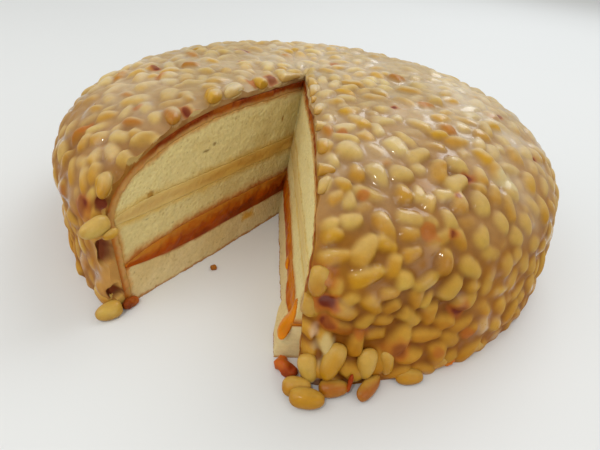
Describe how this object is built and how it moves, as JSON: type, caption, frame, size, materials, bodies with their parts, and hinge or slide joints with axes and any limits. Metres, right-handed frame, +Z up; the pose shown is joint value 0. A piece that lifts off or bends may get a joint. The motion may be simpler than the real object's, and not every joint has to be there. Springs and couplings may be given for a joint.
{
  "type": "pine nut layer cake",
  "caption": "Round domed layer cake with jam and cream fillings, covered in icing studded with pine nuts, with a slice cut out to show its inside.",
  "frame": {"origin": "middle of the round base, on the surface that the cake stands on", "axes": "+Z up, the missing slice opens towards -Y"},
  "size_m": [0.236, 0.2366, 0.0715],
  "materials": {
    "sponge": "pale yellow sponge crumb, matte and finely porous",
    "jam": "dark red-brown to orange jam, wet and glossy",
    "cream": "tan butter cream, soft satin",
    "nut_icing": "pale golden pine nuts under thin off-white icing, satin with wet highlights"
  },
  "bodies": {
    "root": {"sponge_bottom": "sponge", "jam_filling": "jam", "sponge_middle": "sponge", "cream_filling": "cream", "sponge_top": "sponge", "jam_coat": "jam", "nut_icing": "nut_icing"}
  },
  "joints": []
}
